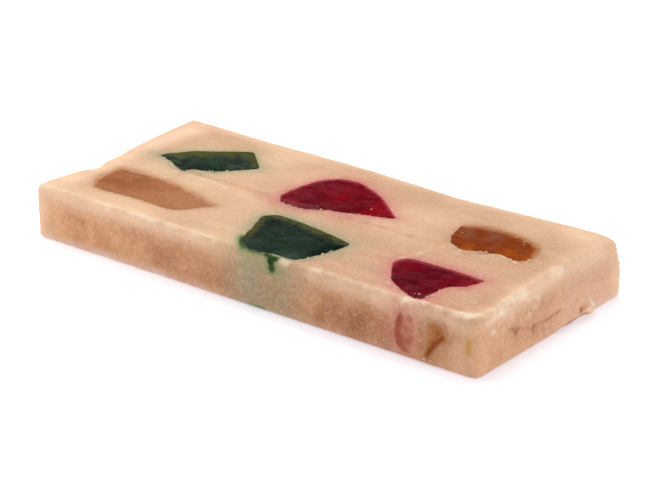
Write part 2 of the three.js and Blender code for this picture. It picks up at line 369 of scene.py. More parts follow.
def flatten_foot(piece):
    """Presses what has come near to the table flat on to it."""
    only(piece)
    bpy.ops.object.mode_set(mode="EDIT")
    bpy.ops.mesh.select_mode(type="VERT")
    shape = bmesh.from_edit_mesh(piece.data)
    for corner in shape.verts:
        corner.select_set(corner.co.z < touching * mm)
    shape.select_flush_mode()
    bpy.ops.transform.resize(value=(1, 1, 0), center_override=(0, 0, 0))
    bpy.ops.object.mode_set(mode="OBJECT")


upwards = normals_of(slab)[:, 2]
height = points_of(slab)[:, 2]
clear_of_foot = smooth_step(height, *foot_fade)
weigh(slab, "clear", clear_of_foot)
on_sides = clear_of_foot * (1 - smooth_step(upwards, *side_turn))
pressed_smooth = pressed_off * smooth_step(points_of(slab)[:, 0], pressed_from, pressed_to)
weigh(slab, "sides", on_sides)
weigh(slab, "torn", on_sides * (1 - pressed_smooth))
weigh(slab, "top", smooth_step(upwards, *top_turn))
roughen(slab, "clear", **waves)
press(slab, worn_corner, unevenness=0, towards=worn_towards)
flatten_foot(slab)

roughen(slab, "sides", **lumpy)
roughen(slab, "top", **rolling)
press(slab, drags)
roughen(slab, "torn", **torn)
roughen(slab, "torn", **crumbly)
roughen(slab, "top", **drawn)
press(slab, cracks)
press(slab, pits + lumps)
flatten_foot(slab)

core = slab.copy()
core.data = slab.data.copy()
bpy.context.collection.objects.link(core)

# The chunks of fruit
# Candied fruit, cut up and stirred into the paste, so each chunk runs down through the slab and was
# sliced flush with it. The knife came towards the front: it tore crumbs off each front edge and
# dragged a thin film of paste over each back edge.
past_face = 3
outline_step = 0.5
# How far the crumbs make the torn front edge and the clean back edge stray from their outline, and how
# large the small and the large crumbs are.
torn_edge = 0.34
clean_edge = 0.05
small_tear, large_tear = 0.9, 2.2
# An edge is clean up to the first of these and torn from the second: 1 faces the front, -1 the back.
torn_facing = (-0.1, 0.5)
# The largest share of a side that the rounding of one corner takes.
largest_cut = 0.48
# A corner of an outline is x, y and how far back from the corner its rounding starts. On the front
# side it is x, z and the rounding, and depth is how far in the chunk goes.
red_at_side = {
    "depth": 12,
    "corners": [
        (58.6, 15.2, 2), (64.6, 15, 2), (65.2, 1.2, 1), (60, 0.9, 2), (56.4, 4, 2.5), (56.2, 10.6, 3),
    ],
}
chunks = {
    "tan_fruit": {
        "taper": 0.12,
        "corners": [
            (-75.9, -9.9, 2.5), (-56, -9.2, 5), (-44, -12, 5), (-28.2, -17.2, 1.5), (-36.6, -29, 4),
            (-53, -27.9, 5), (-70.4, -29.7, 4), (-75.4, -22, 4),
        ],
    },
    "green_fruit_back": {
        "taper": 0.15,
        "corners": [
            (-72.6, 5, 1.5), (-65.8, 13.6, 3), (-49.8, 26.5, 1.5), (-38.1, 15.4, 1.8), (-46.5, 4.4, 4),
            (-54, 1.6, 1), (-57, -0.9, 1.4), (-61.4, 0.5, 1.4), (-64.6, 2.4, 1.6),
        ],
    },
    "red_fruit_back": {
        "taper": 0.1,
        "corners": [
            (-18.2, 1, 2.5), (-17.8, 16, 6), (-12, 25, 4), (-5, 26.4, 4), (8, 20.2, 6), (22.8, 8.2, 1.5),
            (10, 3.2, 2), (1, 0.8, 3), (-6.2, -3, 4), (-15, -2.6, 3),
        ],
    },
    "green_fruit_front": {
        "taper": 0.08,
        "corners": [
            (-12.1, -14.6, 1.5), (-9.2, -10.9, 2.5), (1, -11.3, 3), (12, -12.9, 4), (23.3, -15.5, 1.5),
            (23.3, -22, 4), (18, -36.2, 3), (10.6, -35.7, 2), (4.4, -37.1, 2), (-1, -36.9, 2.5),
            (-5.6, -32.5, 4),
        ],
    },
    "amber_fruit_back": {
        "taper": 0.14,
        "corners": [
            (41.4, 17, 2.5), (46.6, 20.2, 3), (59, 21.2, 5), (71, 17.6, 4), (74, 8, 4), (70.8, 3.1, 2),
            (64, 5.1, 2), (58.2, 2.2, 2), (52.6, -0.5, 3), (46.4, 3, 3), (43.4, 9, 3),
        ],
    },
    "red_fruit_front": {
        "taper": 0.1,
        "at_side": red_at_side,
        "corners": [
            (40.9, -18.2, 2.5), (43.4, -12.8, 2.5), (62, -12.5, 6), (71.2, -13.2, 1), (69.2, -20.4, 1.2),
            (65, -23.2, 2.5), (63.8, -35.6, 2), (61, -36.1, 2.5), (49.2, -30.2, 4),
        ],
    },
    "amber_fruit_side": {
        "depth": 6,
        "corners": [
            (67.2, 14.4, 1.5), (74.8, 14.8, 2), (76.6, 9.4, 2), (71.8, 4.8, 2), (69.8, 1, 0.8),
            (67, 1.6, 0.8),
        ],
    },
    "ochre_fruit_corner": {
        "depth": 5,
        "corners": [(81.2, 6.2, 0.8), (84.6, 6.4, 0.8), (85, 12.8, 0.8), (81.8, 12.8, 0.8)],
    },
}


def outline(corners):
    """The points of a closed line with rounded corners, evenly spaced and anticlockwise."""
    line = []
    in_threes = zip(corners[-1:] + corners[:-1], corners, corners[1:] + corners[:1])
    for last, (x, y, cut), following in in_threes:
        corner = Vector((x, y))
        sides = [Vector(other[:2]) - corner for other in (last, following)]
        cuts = [side.normalized() * min(cut, largest_cut * side.length) for side in sides]
        start, end = corner + cuts[0], corner + cuts[1]
        for share in (0, 0.25, 0.5, 0.75, 1):
            line.append(start.lerp(corner, share).lerp(corner.lerp(end, share), share))
    even = []
    for start, end in zip(line, line[1:] + line[:1]):
        pieces = max(1, round((end - start).length / outline_step))
        even += [start.lerp(end, share / pieces) for share in range(pieces)]
    area = sum(a.cross(b) for a, b in zip(even, even[1:] + even[:1]))
    return np.array([tuple(point) for point in (even if area > 0 else even[::-1])])


def outwards(line):
    """The direction out of a closed anticlockwise line at each of its points."""
    along = np.roll(line, -2, axis=0) - np.roll(line, 2, axis=0)
    across = np.stack([along[:, 1], -along[:, 0]], axis=1)
    return across / np.linalg.norm(across, axis=1)[:, None]


def torn_outline(corners):
    """An outline whose front edge is torn by crumbs and whose back edge is clean."""
    line = outline(corners)
    out = outwards(line)
    torn_share = smooth_step(-out[:, 1], *torn_facing)
    flat = np.column_stack([line, np.zeros(len(line))])
    jitter = uneven(flat, small_tear, salt=5) + uneven(flat, large_tear, salt=9) - 1
    amount = (clean_edge + (torn_edge - clean_edge) * torn_share) * 2 * jitter
    return line + out * amount[:, None]


def prism(line, near, far, shrink=0):
    """A closed solid between two outlines. near and far map a point of the line to its place."""
    only(slab)
    bpy.ops.mesh.primitive_circle_add(vertices=len(line), fill_type="NGON")
    made = bpy.context.object
    middle = line.mean(axis=0)
    for corner, point in zip(made.data.vertices, line.tolist()):
        corner.co = Vector(near(*point)) * mm
    bpy.ops.object.mode_set(mode="EDIT")
    bpy.ops.mesh.select_all(action="SELECT")
    reach = Vector(far(*middle)) - Vector(near(*middle))
    bpy.ops.mesh.extrude_region_move(TRANSFORM_OT_translate={"value": reach * mm})
    bpy.ops.transform.resize(value=(1 - shrink,) * 3, center_override=Vector(far(*middle)) * mm)
    bpy.ops.mesh.select_all(action="SELECT")
    bpy.ops.mesh.normals_make_consistent(inside=False)
    bpy.ops.object.mode_set(mode="OBJECT")
    return made


def carve(piece, tool, operation):
    finish_with(piece, "BOOLEAN", object=tool, operation=operation, solver="MANIFOLD")


def discard(tool):
    bpy.data.objects.remove(tool, do_unlink=True)


def body_of(chunk):
    """The whole chunk as it runs down through the slab or in from its front side."""
    line = torn_outline(chunk["corners"])
    if "depth" in chunk:
        inner = -half_width + chunk["depth"]
        return prism(line, lambda x, z: (x, -half_width - past_face, z), lambda x, z: (x, inner, z))
    middle = line.mean(axis=0)
    line = middle + (line - middle) * (1 + chunk["taper"] * past_face / thickness)
    top, foot = thickness + past_face, -past_face
    shrink = chunk["taper"] * (top - foot) / thickness
    made = prism(line, lambda x, y: (x, y, top), lambda x, y: (x, y, foot), shrink)
    if "at_side" in chunk:
        side = body_of(chunk["at_side"])
        carve(made, side, "UNION")
        discard(side)
    return made


def share_left(chunk, height):
    """How large a standing chunk still is at a height, next to its outline on the top."""
    return 1 - chunk["taper"] * (1 - height / thickness)


fruits = {}
for name, chunk in chunks.items():
    fruit = body_of(chunk)
    carve(slab, fruit, "DIFFERENCE")
    carve(fruit, core, "INTERSECT")
    fruit.name = name.replace("_fruit", "_chunk")
    fruits[name] = fruit
discard(core)

# The colours of the paste
# Pale, cream to tan, and a little see-through. The torn sides are moist and darker, and their slow turn
# from the top's colour is partly painted shade below the rounded shoulder, while painted bounce light from
# the table pales their foot. Colour has bled out of the red and green fruit, and a smear of green lies on
# the front shoulder. Sugar and ground almond make it grainy and whitish where it was rubbed, and the pale
# bands along the edges, rims and ridges are partly painted highlights.
light_top = (231, 190, 153)
tan_top = (209, 164, 129)
warm_top = (205, 160, 127)
pale_top = (246, 207, 174)
streak_top = (224, 176, 140)
# Stain and painted shade in the creases.
crease_stain_and_shade = (196, 136, 102)
light_side = (219, 163, 119)
tan_side = (206, 147, 104)
moist_side = (167, 106, 67)
end_side = (226, 182, 156)
# Painted bounce light from the white table, paling the foot of the sides.
foot_bounce_light = (230, 196, 176)
# Rubbed cream, also used for painted highlights on the rims and ridges.
rubbed = (252, 230, 204)
bled_red = (204, 100, 106)
bled_green = (150, 149, 116)
bled_amber = (176, 116, 74)
side_green = (158, 158, 132)
pit_brown = (152, 86, 36)
skin_brown = (156, 100, 58)
sugar_white = (255, 244, 232)
smear_dark = (30, 62, 4)
smear_light = (122, 146, 84)
# Each line: the points it runs through, how wide it is and how strong.
# Creases: partly stain and partly painted shade, in the dark line under the knife step and in the shallow
# hollow before the ridge at the front right.
stained_and_shaded_creases = [
    ([(-62, -0.5, 18.5), (-40, -0.2, 18.5), (-20, -0.8, 18.5)], 0.7, 0.8),
    ([(62, -33.6, 18.5), (76, -32, 18.5), (81, -26, 18.5)], 4.5, 0.55),
    ([(4, -1.6, 18.5), (14, 0.2, 18.5), (26, 0.6, 18.5), (36, 0.6, 18.5)], 0.7, 1),
]
moist_lines = [
    ([(-34, -38, 7), (-8, -38, 6.6), (24, -38, 7.4)], 6.5, 0.55),
    ([(32, -38, 5.6), (52, -38, 5.6)], 6.5, 1),
    ([(86, -20, 8), (86, -4, 8)], 5, 0.45),
    ([(-24, 0, 18.5), (20, -4, 18.5), (50, -14, 18.5)], 18, 0.9),
    ([(28, -30, 18.5), (72, -28, 18.5)], 8, 0.9),
    ([(30, 24, 18.5), (64, 26, 18.5)], 9, 0.7),
    ([(-81, -20, 7), (-81, 26, 7)], 5, 0.5),
    ([(-50, 38, 7), (60, 38, 7)], 5.5, 0.6),
]
# Pale lines: partly dry, whitish paste and partly painted highlights: the glow along the left end and its
# front edge, the rims of the back edge, the back right edge, the front shoulder and the right end, the
# front right corner lit from the right, and the flake on the right end that catches the light.
pale_and_highlit_lines = [
    ([(-82, -36, 18.5), (-80, -10, 18.5), (-81, 10, 18.5), (-80, 34, 18.5)], 5.5, 0.9),
    ([(-78, 37, 18.5), (-40, 37.4, 18.5), (16, 36.4, 18.5), (60, 37, 18.5)], 2.8, 0.7),
    ([(72, 33, 18.5), (81, 30, 18.5)], 6, 0.6),
    ([(-84, -38, 17), (-46, -38, 17), (-16, -38, 17)], 2.6, 0.7),
    ([(-85.6, -38, 1), (-85.6, -38, 17)], 4, 0.8),
    ([(86, 37, 1), (86, 37, 16)], 5, 0.6),
    ([(80, -38, 5), (80, -38, 16)], 4.5, 0.35),
    ([(26, -38, 16.8), (50, -38, 16.4)], 2.4, 0.6),
    ([(50, -38, 16.4), (66, -38, 15.6), (76, -38, 15)], 3.1, 1),
    ([(84, 10, 18.5), (80, 26, 18.5)], 4, 0.4),
    ([(84.6, -30, 17), (83.8, -14, 17), (83.4, 6, 17), (83.4, 30, 17)], 3, 0.8),
    ([(86.4, 18.6, 4.6), (87, 20.4, 2.6)], 1.8, 1),
]
smears = [
    ([(-6.6, -31, 18.3), (-5.4, -33, 18.3), (-3.4, -35, 18.3), (-1.2, -37, 18.2)], 1.9, 0.9),
    ([(-1.2, -37, 18.2), (4.4, -37.3, 18.2), (8.4, -37, 18.1)], 1.8, 0.85),
    ([(8.4, -37.2, 18), (12.4, -37.5, 17.7)], 1.8, 0.95),
    ([(10.6, -38, 17.2), (11.2, -38.2, 14.6)], 2.7, 0.95),
    ([(1, -38, 16.2), (15, -38, 15)], 4.5, 0.36),
    ([(3, -38.2, 0.6), (8, -38.2, 0.8)], 1, 0.8),
]
# Rubbed lines: whitish, rubbed paste, and partly also painted highlights where the shoulder, the rims of
# the right end, the ridges, the strip under the knife step and the flake on the right end catch the light.
rubbed_and_highlit_lines = [
    ([(-84, -37.4, 17.8), (-46, -37.6, 17.8), (-12, -37.4, 17.6)], 1.6, 0.5),
    ([(13.5, -37.6, 17.8), (17, -37.6, 17.8)], 1.4, 0.8),
    ([(26, -37.2, 18), (40, -37.4, 18), (58, -37.2, 18)], 1.5, 0.5),
    ([(60, -37.2, 18), (66, -37, 18), (77, -36.8, 18), (81, -36.2, 18), (84, -34, 18)], 1.9, 1),
    ([(85, -34, 16.5), (85, -24, 16.5)], 1.6, 0.7),
    ([(84.6, -30, 18), (83.8, -15, 17.8)], 1.8, 0.6),
    ([(83.8, -15, 17.8), (83, 0, 18), (83, 30, 18)], 1.8, 0.32),
    ([(83.7, -15, 17.4), (83.5, -11, 17.4)], 1.9, 0.8),
    ([(83, 4, 17.6), (83, 8, 17.8)], 2, 0.8),
    ([(86, -30, 12), (86, -22, 13), (86, -6, 14)], 3.4, 0.45),
    (
        [(41.5, -14.4, 18.5), (44.5, -5.4, 18.5), (46.6, 3.2, 18.5), (52.4, -0.8, 18.5), (58, 2.6, 18.5)],
        1.2, 0.6,
    ),
    ([(58, 2.6, 18.5), (64, 4.8, 18.5), (70.6, 2.8, 18.5)], 0.9, 0.8),
    ([(86.4, 17.4, 5.2), (87, 18.8, 4), (87.4, 20.4, 2.4)], 2, 1),
    ([(-60, -2.2, 18.5), (-34, -3.2, 18.5)], 0.9, 0.5),
    ([(48.6, -31, 18.5), (61.4, -37, 18.3), (65, -37, 18)], 0.8, 0.5),
]
# The heights between which the colour of the top turns into that of the sides, a slow turn that is partly
# painted shade below the rounded shoulder, and between which painted bounce light from the table pales the
# sides' foot.
side_top, side_middle = 17.4, 11.6
bounce_light_top, bounce_light_low = 3.8, 0.6
# The painted bounce light on the foot is weaker by this share towards the right, but not at the back.
bounce_light_loss = 0.65
bounce_light_loss_x = (-30, -5)
bounce_light_loss_y = (16, 28)
# The right end is pressed pale and smooth: from where to where, and how much of that at its front.
end_from, end_to = half_length - 7, half_length - 2
end_front_share = 0.35
end_front, end_back = -6, 10
# How far colour has bled out of each kind of fruit.
stain_reach = {("red",): 2.6, ("green",): 3.2, ("amber", "tan"): 1.8}
crisp_angle = radians(50)


def inside(line, spots):
    """Which of some flat places lie inside a closed line."""
    within = np.zeros(len(spots), bool)
    for (x0, y0), (x1, y1) in zip(line, np.roll(line, -1, axis=0)):
        crosses = (y0 > spots[:, 1]) != (y1 > spots[:, 1])
        at = x0 + (spots[:, 1] - y0) / ((y1 - y0) or 1e-9) * (x1 - x0)
        within ^= crosses & (spots[:, 0] < at)
    return within


def gap_to_chunk(chunk, places):
    """How far places in the slab lie from a chunk, and 0 inside it."""
    line = outline(chunk["corners"])
    if "depth" in chunk:
        flat = places[:, [0, 2]]
        behind = np.maximum(0, places[:, 1] + half_width - chunk["depth"])
        size = 1
    else:
        middle = line.mean(axis=0)
        size = share_left(chunk, places[:, 2])
        flat = middle + (places[:, :2] - middle) / size[:, None]
        behind = 0
    gaps = np.where(inside(line, flat), 0, gap_to(flat, line[::2], closed=True)) * size
    gaps = np.hypot(gaps, behind)
    if "at_side" in chunk:
        gaps = np.minimum(gaps, gap_to_chunk(chunk["at_side"], places))
    return gaps


def note(piece, name, amounts):
    """Writes a number, or three, for each corner of a piece, for its material to read."""
    amounts = np.asarray(amounts, "f")
    if amounts.ndim == 1:
        piece.data.attributes.new(name, "FLOAT", "POINT").data.foreach_set("value", amounts)
        return
    colours = np.column_stack([amounts, np.ones(len(amounts), "f")])
    piece.data.attributes.new(name, "FLOAT_COLOR", "POINT").data.foreach_set("color", colours.ravel())


def closeness(places, lines):
    """How much of the nearest of some lines is at each place, from 0 to 1."""
    most = np.zeros(len(places), "f")
    for path, reach, strength in lines:
        most = np.maximum(most, strength * np.exp(-((gap_to(places, path) / reach) ** 2)))
    return most


def note_paste(piece, stained=1, pale_and_highlight=0):
    """Notes how near the fruit each place of a piece is, how the paste was cut there, and where highlights,
    shade and bounce light are painted on it.
    """
    places = points_of(piece)
    stains = []
    for kinds, reach in stain_reach.items():
        gaps = [gap_to_chunk(chunk, places) for name, chunk in chunks.items() if name.startswith(kinds)]
        stains.append(stained * np.exp(-np.minimum.reduce(gaps) / reach))
    note(piece, "stain", np.stack(stains, axis=1))
    x, y, height = places.T
    side = smooth_step(height, side_top, side_middle)
    # Painted bounce light from the table on the foot of the sides.
    foot = smooth_step(height, bounce_light_top, bounce_light_low)
    foot *= 1 - bounce_light_loss * smooth_step(x, *bounce_light_loss_x) * (1 - smooth_step(y, *bounce_light_loss_y))
    note(piece, "cut", np.stack([side, foot, stained * closeness(places, pits + cracks)], axis=1))
    wear_and_painted_light = [closeness(places, lines) for lines in (rubbed_and_highlit_lines, moist_lines, stained_and_shaded_creases)]
    note(piece, "wear_and_painted_light", np.stack(wear_and_painted_light, axis=1))
    note(piece, "smear", closeness(places, smears))
    note(piece, "pale", np.maximum(closeness(places, pale_and_highlit_lines), pale_and_highlight))
    pressed = end_front_share + (1 - end_front_share) * smooth_step(y, end_front, end_back)
    note(piece, "pressed", pressed * smooth_step(x, end_from, end_to))


def colour(red, green, blue):
    """A colour from its three values out of 255, as a picture shows it."""
    shares = np.array([red, green, blue]) / 255
    return (*np.where(shares < 0.04045, shares / 12.92, ((shares + 0.055) / 1.055) ** 2.4), 1)


def step(tree, kind, inputs=None, **settings):
    """Adds a shader node, with its inputs filled or linked."""
    made = tree.nodes.new("ShaderNode" + kind)
    for name, value in settings.items():
        setattr(made, name, value)
    for name, value in (inputs or {}).items():
        if isinstance(value, bpy.types.NodeSocket):
            tree.links.new(value, made.inputs[name])
        else:
            made.inputs[name].default_value = value
    return made


def mix(tree, share, first, second):
    return step(tree, "Mix", {0: share, 6: first, 7: second}, data_type="RGBA").outputs[2]


def math(tree, way, first, second):
    return step(tree, "Math", {0: first, 1: second}, operation=way).outputs[0]


def times(tree, first, second):
    return math(tree, "MULTIPLY", first, second)


def spread(tree, value, low, high, to_low=0, to_high=1):
    """Stretches a value between two limits, smoothly."""
    limits = {"Value": value, "From Min": low, "From Max": high, "To Min": to_low, "To Max": to_high}
    return step(tree, "MapRange", limits, interpolation_type="SMOOTHSTEP").outputs[0]


def cloud(tree, size, detail=3, stretch=(1, 1, 1), shift=0):
    """A cloudy pattern whose lumps have a size in mm."""
    place = step(tree, "TexCoord").outputs["Object"]
    moves = {"Vector": place, "Location": (shift * mm,) * 3, "Scale": stretch}
    moved = step(tree, "Mapping", moves).outputs[0]
    inputs = {"Vector": moved, "Scale": 0.5 / (size * mm), "Detail": detail}
    return step(tree, "TexNoise", inputs).outputs["Fac"]


def noted(tree, name):
    return step(tree, "Attribute", attribute_name=name).outputs["Fac"]


def parts_of(tree, name):
    found = step(tree, "Attribute", attribute_name=name).outputs["Color"]
    return step(tree, "SeparateColor", {"Color": found}).outputs


def paste_colour(tree):
    """The colour of the paste at a place."""
    red, green, amber = parts_of(tree, "stain")
    side, foot, pit = parts_of(tree, "cut")
    rub_and_highlight, moist, crease_and_shade = parts_of(tree, "wear_and_painted_light")
    broad = spread(tree, cloud(tree, 20, detail=1), 0.36, 0.64)
    top = mix(tree, broad, colour(*light_top), colour(*tan_top))
    warmth = times(tree, moist, spread(tree, cloud(tree, 7), 0.3, 0.6, 0.4, 1))
    top = mix(tree, warmth, top, colour(*warm_top))
    drawn_out = spread(tree, cloud(tree, 2.4, stretch=(0.25, 1, 1)), 0.45, 0.75, 0, 0.5)
    top = mix(tree, drawn_out, top, colour(*streak_top))
    blotches = spread(tree, cloud(tree, 3.4, detail=4), 0.34, 0.66)
    flank = mix(tree, blotches, colour(*light_side), colour(*tan_side))
    moisture = times(tree, moist, spread(tree, cloud(tree, 5, detail=4, shift=20), 0.25, 0.6, 0.4, 1))
    flank = mix(tree, moisture, flank, colour(*moist_side))
    flank = mix(tree, times(tree, noted(tree, "pressed"), 0.55), flank, colour(*end_side))
    # The slow turn from the top's colour into the sides' colour is partly painted shade below the shoulder.
    made = mix(tree, side, top, flank)
    whitened = spread(tree, cloud(tree, 5, detail=4, stretch=(0.3, 1, 1), shift=110), 0.5, 0.75, 0, 0.35)
    made = mix(tree, times(tree, whitened, math(tree, "SUBTRACT", 1, side)), made, colour(*pale_top))
    # Pale lines, partly painted highlights along the edges, rims and the flake.
    pale_and_highlight_share = spread(tree, cloud(tree, 6, detail=4, shift=70), 0.25, 0.6, 0.5, 1)
    made = mix(tree, times(tree, noted(tree, "pale"), pale_and_highlight_share), made, colour(*pale_top))
    # Stain and painted shade in the creases and the hollow at the front right.
    crease_stain_and_shade_share = times(tree, crease_and_shade, spread(tree, cloud(tree, 2), 0.3, 0.6, 0.1, 0.7))
    made = mix(tree, crease_stain_and_shade_share, made, colour(*crease_stain_and_shade))
    # Painted bounce light from the table on the foot of the sides.
    bounce_light_share = times(tree, foot, spread(tree, cloud(tree, 1.8), 0.3, 0.6, 0.5, 1))
    made = mix(tree, bounce_light_share, made, colour(*foot_bounce_light))
    bleeding = spread(tree, cloud(tree, 4.5), 0.25, 0.75, 0.65, 1.2)
    red = times(tree, red, math(tree, "SUBTRACT", 1, times(tree, side, 0.6)))
    for stain, tint, most in ((red, bled_red, 0.9), (green, bled_green, 0.95), (amber, bled_amber, 0.65)):
        made = mix(tree, times(tree, times(tree, stain, bleeding), most), made, colour(*tint))
    down_side = times(tree, times(tree, green, side), spread(tree, cloud(tree, 4), 0.3, 0.7, 0.5, 1.1))
    made = mix(tree, down_side, made, colour(*side_green))
    # Brown pits and cracks; along the right end's foot the brown is painted contact shade.
    pitted = times(tree, pit, spread(tree, cloud(tree, 0.8), 0.3, 0.6, 0.2, 1))
    made = mix(tree, pitted, made, colour(*pit_brown))
    skin_bits = times(tree, side, spread(tree, cloud(tree, 0.9, detail=1, shift=40), 0.74, 0.8, 0, 0.3))
    made = mix(tree, skin_bits, made, colour(*skin_brown))
    grainy = spread(tree, cloud(tree, 0.5, detail=2), 0.4, 0.7, 0, 0.14)
    made = mix(tree, grainy, made, colour(*rubbed))
    # Rubbed whitening, partly painted highlights on the rims and ridges.
    patchy = times(tree, rub_and_highlight, spread(tree, cloud(tree, 5, detail=3, shift=55), 0.3, 0.6, 0.5, 1))
    wear_and_painted_light = math(tree, "ADD", times(tree, patchy, 0.7), times(tree, cloud(tree, 1.4, detail=5), 0.8))
    made = mix(tree, spread(tree, wear_and_painted_light, 0.5, 1.05, 0, 0.8), made, colour(*rubbed))
    crystals = spread(tree, cloud(tree, 0.55, detail=1, shift=90), 0.72, 0.78, 0, 0.3)
    return mix(tree, crystals, made, colour(*sugar_white))


paste = bpy.data.materials.new("almond_paste")
paste.use_nodes = True
tree = paste.node_tree
shader = tree.nodes["Principled BSDF"]
made = paste_colour(tree)
broad_rags = times(tree, cloud(tree, 2, detail=2), 0.7)
ragged = math(tree, "ADD", broad_rags, times(tree, cloud(tree, 0.6, detail=5), 0.6))
smeared = times(tree, noted(tree, "smear"), math(tree, "ADD", ragged, 0.55))
made = mix(tree, spread(tree, smeared, 0.1, 0.9, 0, 0.7), made, colour(*smear_light))
made = mix(tree, spread(tree, smeared, 0.75, 1.15), made, colour(*smear_dark))
tree.links.new(made, shader.inputs["Base Color"])
tree.links.new(spread(tree, cloud(tree, 1.2), 0.3, 0.7, 0.65, 0.45), shader.inputs["Roughness"])
shader.inputs["Specular IOR Level"].default_value = 0.15
shader.inputs["Subsurface Weight"].default_value = 0.35
shader.inputs["Subsurface Radius"].default_value = (1, 0.55, 0.3)
shader.inputs["Subsurface Scale"].default_value = 1.6 * mm
side = parts_of(tree, "cut")[0]
rub_and_highlight = parts_of(tree, "wear_and_painted_light")[0]
torn_side = times(tree, side, math(tree, "SUBTRACT", 1, times(tree, noted(tree, "pressed"), 0.7)))
roughness = math(tree, "ADD", times(tree, rub_and_highlight, 0.6), math(tree, "ADD", times(tree, torn_side, 0.45), 0.1))
coarse = times(tree, cloud(tree, 1.3, detail=4), roughness)
fine = times(tree, cloud(tree, 0.4, detail=2), math(tree, "ADD", times(tree, torn_side, 0.2), 0.06))
relief = {"Height": math(tree, "ADD", coarse, fine), "Strength": 0.6, "Distance": 0.5 * mm}
tree.links.new(step(tree, "Bump", relief).outputs[0], shader.inputs["Normal"])

note_paste(slab)
slab.data.materials.clear()
slab.data.materials.append(paste)
only(slab)
bpy.ops.object.shade_smooth_by_angle(angle=crisp_angle)
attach(slab, "root")
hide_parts("nougat_paste")

# The colours of the fruit
# Dark, moist candied fruit, bare where the knife left it clean and a little sunk there. Towards its
# back edge each chunk pales under a film of paste, and in the front side only a part of each is bare.
film_towards = (-0.6, 0.8)
# Each kind's colours, and its film of paste: how wide and how thick that is at the edge that it was
# dragged over, how much of it there is at the other edges, and which way the first edge faces.
fruit_looks = {
    "tan": {
        "deep": (163, 103, 66), "light": (178, 119, 82), "veil": (196, 139, 104), "dots": (150, 90, 54),
        "streak": (174, 108, 68), "bright": (150, 88, 54), "dull": (182, 128, 94),
        "film": (2, 0.9), "edge_film": 0.5,
    },
    "green": {
        "deep": (14, 28, 20), "light": (32, 48, 36), "veil": (78, 76, 28), "dots": (6, 14, 10),
        "streak": (42, 54, 46), "bright": (12, 48, 28), "dull": (74, 88, 72),
        "film": (4.4, 0.45), "edge_film": 0.1,
    },
    "red": {
        "deep": (92, 0, 15), "light": (118, 2, 25), "veil": (160, 40, 54), "dots": (54, 0, 8),
        "streak": (126, 2, 26), "bright": (146, 0, 16), "dull": (132, 38, 48), "side_veil": (172, 94, 74),
        "film": (1.4, 0.6), "edge_film": 0.08,
    },
    "amber": {
        "deep": (134, 54, 12), "light": (144, 68, 30), "veil": (178, 114, 66), "dots": (100, 38, 4),
        "streak": (154, 74, 16), "bright": (182, 90, 6), "dull": (138, 86, 62),
        "film": (3, 0.75), "edge_film": 0.15, "film_towards": (0.15, 1),
    },
    "ochre": {
        "deep": (206, 148, 78), "light": (210, 154, 88), "veil": (214, 162, 106), "dots": (190, 132, 70),
        "streak": (216, 154, 84), "bright": (206, 148, 78), "dull": (206, 148, 90),
        "film": (1.5, 1), "edge_film": 1,
    },
}
# How far the bare fruit is sunk, how near to the top it has to be for that, and the thickness of film
# that holds it up.
sunk = 0.22
top_reach = 2.5
film_holds = 0.4
# Where a chunk is brighter or duller than the rest of it: x, y and how far that reaches. The brighter
# patches are partly painted glow and glints, on the red chunks where light shines through and along the
# amber chunk's near edge; the duller ones on the back red chunk are a painted reflection, a purple-grey
# haze on its wet top.
bright_and_glowing_patches = {
    "red_fruit_back": [((15, 11), 7), ((0, 12), 6)],
    "red_fruit_front": [((69, -16), 3)],
    "green_fruit_front": [((6, -29), 5)],
    "green_fruit_back": [((-50, 9), 5)],
    "amber_fruit_back": [((65, 6.4), 3.5), ((70.6, 6.6), 4), ((54, 2.4), 3)],
    "tan_fruit": [((-66, -20), 8), ((-70, -14), 5)],
}
dull_and_hazed_patches = {
    "red_fruit_back": [((-15, 6), 6), ((0, 2.6), 4.5), ((-9, 16), 4)],
    "red_fruit_front": [((57, -33), 3)],
    "green_fruit_front": [((-1, -34), 3.5), ((14, -35), 4)],
    "green_fruit_back": [((-52, 18), 9), ((-66, 8), 8), ((-44, 14), 6)],
    "amber_fruit_back": [((46, 13), 4), ((54, 15), 4)],
    "tan_fruit": [((-40, -20), 9)],
}
# Where a chunk in the front side is bare: the points it runs through, how wide and how bare.
bare = {
    "red_fruit_front": [
        ([(58.4, 12.4), (57.8, 7), (59.8, 1.8)], 2.4, 0.66),
        ([(61.6, 13), (62, 2)], 3.6, 0.32),
    ],
    "amber_fruit_side": [
        ([(74.4, 9), (72.2, 7.2), (70, 3.4)], 3, 1),
        ([(71.6, 13.4), (73.4, 8)], 3.6, 0.68),
    ],
    "ochre_fruit_corner": [([(82.6, 11.4), (83.6, 8)], 2.6, 0.85)],
}
# How far in from its outline each of them is still under paste, in mm.
fading = {"red_fruit_front": 1.4, "amber_fruit_side": 2, "ochre_fruit_corner": 1.4}
# The heights between which a chunk's top turns into its side, and how far in the front side reaches.
turn_from, turn_to = 16.5, 15
front_depth = 3
# How many times as wide as on its kind the film of paste is on a chunk.
wider_film = {"green_fruit_back": 2}
# Sharp edges whose glints are painted as pale film: the points they run through, how wide and how strong.
painted_glint_ridges = {
    "red_fruit_back": [
        ([(-15.6, -0.4), (-9, -0.2), (-3, 1.6)], 0.35, 0.3),
        ([(-13, -1.6), (-6, -1.2)], 0.3, 0.26),
    ],
}


def patches_over(patches, places):
    """How much a chunk is of the kind of some patches at each place, from 0 to 1."""
    most = np.zeros(len(places))
    for middle, reach in patches:
        away_from = np.linalg.norm(places[:, :2] - middle, axis=1)
        most = np.maximum(most, np.exp(-((away_from / reach) ** 2)))
    return most


def on_front_side(places):
    """How much each place belongs to the front side and not to the top, from 0 to 1."""
    return smooth_step(places[:, 2], turn_from, turn_to) * (places[:, 1] < -half_width + front_depth)


